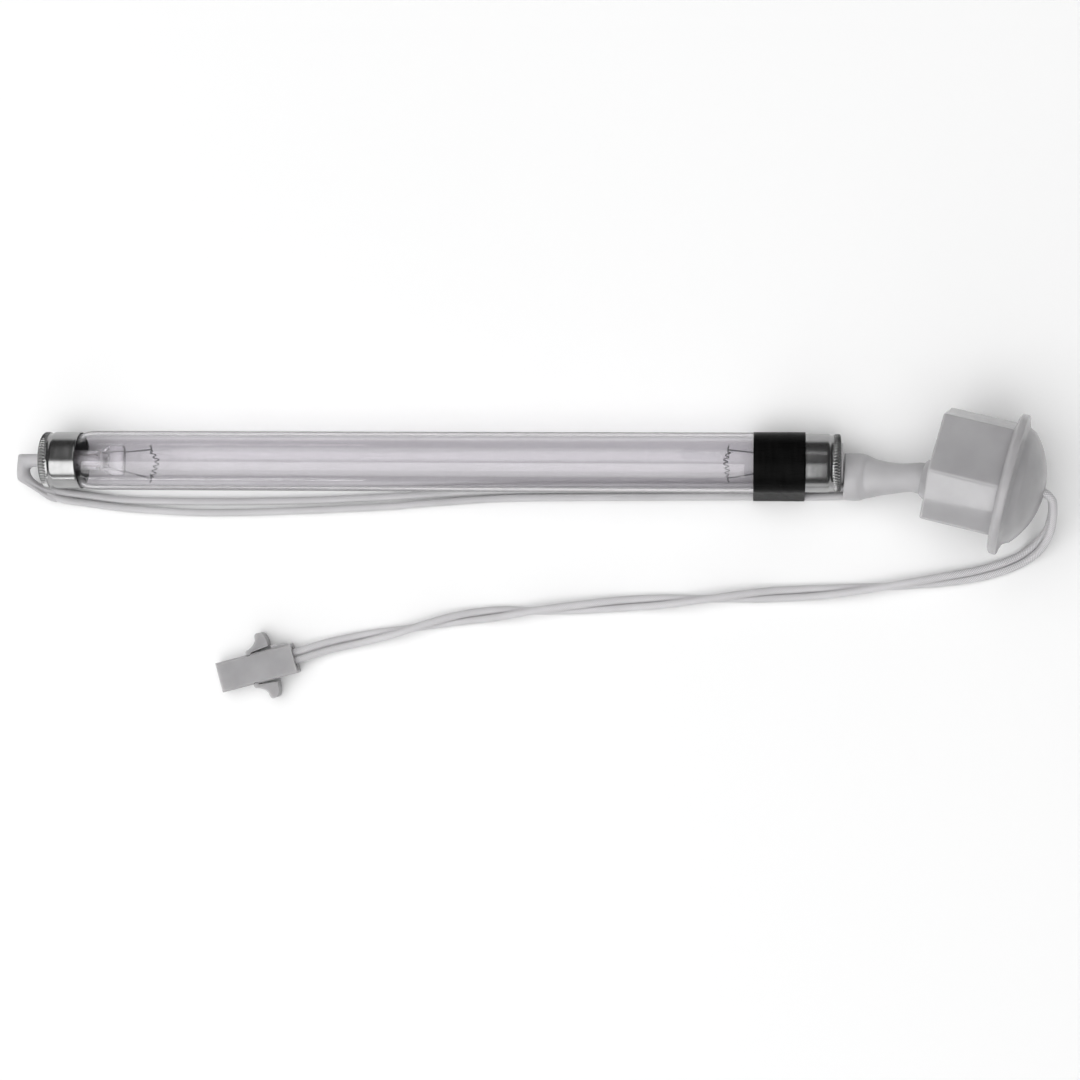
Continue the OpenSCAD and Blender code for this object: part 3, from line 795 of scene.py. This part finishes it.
def add_stopper():
    """One soft moulding: collar, hexagon body, flange and dome."""
    flats, corner_r, hollow_depth = 27.5, 0.8, 0.08
    reach = (flats / 2 - corner_r) / math.cos(math.pi / 6)

    def corner(k, turn):
        a, b = math.radians(60 * k), math.radians(60 * k + turn)
        return (reach * np.array((math.cos(a), math.sin(a)))
                + corner_r * np.array((math.cos(b), math.sin(b))))

    # sink says how much each point takes part in the flats' slight hollow
    hexagon, sink = [], []
    for k in range(6):
        for turn in np.linspace(-30, 30, 9):
            hexagon.append(corner(k, turn))
            sink.append(0.0)
        p, q = corner(k, 30), corner(k + 1, -30)
        for t in (0.02, *np.linspace(0, 1, 13)[1:-1], 0.98):
            hexagon.append(p + (q - p) * t)
            sink.append(4 * t * (1 - t))
    roll = math.radians(PLUG_ROLL)
    spin = np.array(((math.cos(roll), -math.sin(roll)),
                     (math.sin(roll), math.cos(roll))))
    hexagon, sink = np.array(hexagon) @ spin.T, np.array(sink)
    count = len(hexagon)
    ray = unit(hexagon)
    far = np.linalg.norm(hexagon, axis=1)
    body = np.array((0, PLUG_SHIFT))

    def ring(z, radius=None, inset=0.0, centre=(0, 0), hollow=0.0):
        if radius is None:
            flat = ray * (far - inset - hollow * sink)[:, None] + body
        else:
            flat = ray * radius + np.array(centre)
        return np.hstack([flat, np.full((count, 1), z)])

    off = (0, -3.5)
    rings = [ring(-19.4, 3.2, centre=off), ring(-21.5, 3.2, centre=off),
             ring(-21.75, 3.5, centre=off), ring(-21.8, 4.1, centre=off),
             ring(-21.7, 4.35, centre=off), ring(-21.3, 4.75, centre=off),
             ring(-20.7, 5.15, centre=off), ring(-20.2, 5.5, centre=off),
             ring(-19.85, 6.0, centre=off), ring(-19.7, 6.7, centre=off),
             ring(-19.6, 7.8, centre=off)]
    for inset in (3.4, 2.0, 0.9):
        rings.append(ring(-19.6, None, inset))
    for turn in np.linspace(0, 90, 6):
        a = math.radians(turn)
        rings.append(ring(-19.1 - 0.5 * math.cos(a), None,
                          0.5 * (1 - math.sin(a)), hollow=hollow_depth))
    for z in np.linspace(-18.9, -2.3, 13):
        rings.append(ring(z, hollow=hollow_depth))
    # fillet from the hexagon into the flange's tapered back
    rings += [ring(z, hollow=hollow_depth) for z in (-2.1, -2.0)]
    rings += [ring(-1.85, None, -0.04),
              ring(-1.73, None, -0.14), ring(-1.66, None, -0.28),
              ring(-1.62, None, -0.34), ring(-1.56, 17.1), ring(-1.5, 17.25),
              ring(-1.32, 17.62), ring(-1.14, 17.9), ring(-0.92, 18.1),
              ring(-0.65, 18.19), ring(0.35, 18.2), ring(0.62, 18.14),
              ring(0.8, 18.0), ring(0.9, 17.78), ring(0.95, 17.4),
              ring(1.08, 16.9), ring(1.25, 16.3), ring(1.45, 15.7),
              ring(1.62, 15.35), ring(1.8, 15.15), ring(2.05, 15.0),
              ring(2.35, 14.8)]
    dome_r, top = 21.3, 8.8
    start, end = math.asin(14.3 / dome_r), math.asin(2.9 / dome_r)
    for t in np.linspace(0, 1, 20):
        a = start * (1 - t) + end * t
        rings.append(ring(top - dome_r * (1 - math.cos(a)),
                          dome_r * math.sin(a)))
    rings += [ring(8.5, 2.6), ring(8.2, 2.42), ring(6.0, 2.4)]
    points = np.vstack(rings)
    faces = grid_faces(len(rings), count) + end_faces(len(rings), count)
    add_piece("stopper_moulding", at_stopper(points), faces, SILICONE,
              body="stopper", replaces=["stopper"])


add_stopper()


# --------------------------------------------------------------- connector


def from_cad(node, name, material, width, body):
    """A copy of a CAD solid's mesh with its sharp edges rounded off."""
    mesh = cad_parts[node].data.copy()
    mesh.name = name
    work = bmesh.new()
    work.from_mesh(mesh)
    bmesh.ops.remove_doubles(work, verts=work.verts, dist=1e-6)
    bmesh.ops.dissolve_limit(work, angle_limit=math.radians(1),
                             verts=work.verts, edges=work.edges)
    work.to_mesh(mesh)
    work.free()
    mesh.materials.clear()
    mesh.materials.append(material)
    mesh.polygons.foreach_set("use_smooth", [True] * len(mesh.polygons))
    piece = bpy.data.objects.new(name, mesh)
    scene.collection.objects.link(piece)
    soften = piece.modifiers.new("rounded", "BEVEL")
    soften.width, soften.segments = width, 3
    soften.limit_method, soften.angle_limit = "ANGLE", math.radians(25)
    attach(piece, body)
    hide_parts(node)
    return piece


housing = from_cad("connector_housing", "connector_shell", NYLON, 0.00022,
                   "lamp")
left_ear = from_cad("left_panel_ear", "left_snap_ear", NYLON, 0.00025,
                    "left_ear")
right_ear = from_cad("right_panel_ear", "right_snap_ear", NYLON, 0.00025,
                     "right_ear")

# ------------------------------------------- CAD pieces that keep their mesh

for node, material in (
        ("far_cap_insulator", INSULATOR), ("near_cap_insulator", INSULATOR),
        ("far_cement_ring", CEMENT), ("near_cement_ring", CEMENT),
        ("far_contact_pins", PIN_METAL), ("near_contact_pins", PIN_METAL),
        ("far_exhaust_tube", STEM_GLASS), ("near_exhaust_tube", STEM_GLASS),
        ("far_seal_wires", SEAL_METAL), ("near_seal_wires", SEAL_METAL),
        ("connector_contacts", CONTACT_METAL), ("stopper_core", POTTING)):
    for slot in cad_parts[node].material_slots:
        slot.link = "OBJECT"
        slot.material = material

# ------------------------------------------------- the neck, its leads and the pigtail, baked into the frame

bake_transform(neck)
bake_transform(neck_wires)
for strand, path in ((pigtail_a, path_a), (pigtail_b, path_b)):
    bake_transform(strand)


# --------------------------------------------------------- floor and lights


def add_floor():
    """A plain pale floor, a little cloudy so that it isn't one flat tone."""
    size = 2.5
    mesh = bpy.data.meshes.new("floor")
    mesh.from_pydata([(-size, -size, 0), (size, -size, 0), (size, size, 0),
                      (-size, size, 0)], [], [(0, 1, 2, 3)])
    s = Shade("pale floor", Roughness=0.9, Specular_IOR_Level=0.1)
    s.set(Base_Color=s.ramp(s.noise(3, 2), (0.3, 0.84), (0.7, 0.86)))
    mesh.materials.append(s.material)
    floor = bpy.data.objects.new("floor", mesh)
    scene.collection.objects.link(floor)


def add_light(name, place, target, size, power, glossy=True, diffuse=True):
    data = bpy.data.lights.new(name, "AREA")
    data.shape = "RECTANGLE"
    data.size, data.size_y = size
    data.energy = power
    light = bpy.data.objects.new(name, data)
    scene.collection.objects.link(light)
    light.location = place
    towards = Vector(target) - Vector(place)
    light.rotation_mode = "QUATERNION"
    light.rotation_quaternion = towards.to_track_quat("-Z", "Y")
    light.visible_glossy, light.visible_diffuse = glossy, diffuse
    light.visible_camera = False


def add_world():
    world = bpy.data.worlds.new("studio")
    scene.world = world
    world.use_nodes = True
    tree = world.node_tree
    out = tree.nodes["World Output"]
    dim = tree.nodes["Background"]
    dim.inputs["Color"].default_value = (1, 1, 1, 1)
    dim.inputs["Strength"].default_value = 0.07
    pale = tree.nodes.new("ShaderNodeBackground")
    pale.inputs["Color"].default_value = (0.9, 0.9, 0.9, 1)
    mix = tree.nodes.new("ShaderNodeMixShader")
    rays = tree.nodes.new("ShaderNodeLightPath")
    # matt things get more of the room's light than shiny ones mirror
    soft = tree.nodes.new("ShaderNodeBackground")
    soft.inputs["Color"].default_value = (0.2, 0.2, 0.2, 1)
    room = tree.nodes.new("ShaderNodeMixShader")
    tree.links.new(rays.outputs["Is Diffuse Ray"], room.inputs["Fac"])
    tree.links.new(dim.outputs["Background"], room.inputs[1])
    tree.links.new(soft.outputs["Background"], room.inputs[2])
    tree.links.new(rays.outputs["Is Camera Ray"], mix.inputs["Fac"])
    tree.links.new(room.outputs["Shader"], mix.inputs[1])
    tree.links.new(pale.outputs["Background"], mix.inputs[2])
    tree.links.new(mix.outputs["Shader"], out.inputs["Surface"])


add_floor()
add_world()
add_light("key", (-0.7, -0.8, 1.22), (-0.7, 0, 0), (1.5, 1.5), 17,
          diffuse=False)
add_light("wash", (-0.75, -1.15, 1.35), (0, 0, 0), (4, 3), 27, glossy=False)
add_light("back", (-0.24, 0.74, 1.22), (-0.24, 0, 0), (0.47, 1.24), 1.4)
add_light("strip", (0.05, 1.1, 1.45), (0.05, 0, 0), (0.6, 0.04), 0.25)
add_light("side", (-0.662, -1.026, 0.179), (-0.662, 0, 0.179), (0.876, 0.062),
          1.2)
add_light("fill", (-0.35, 0, 1.7), (0.05, 0, 0), (2.8, 2.8), 37,
          glossy=False)
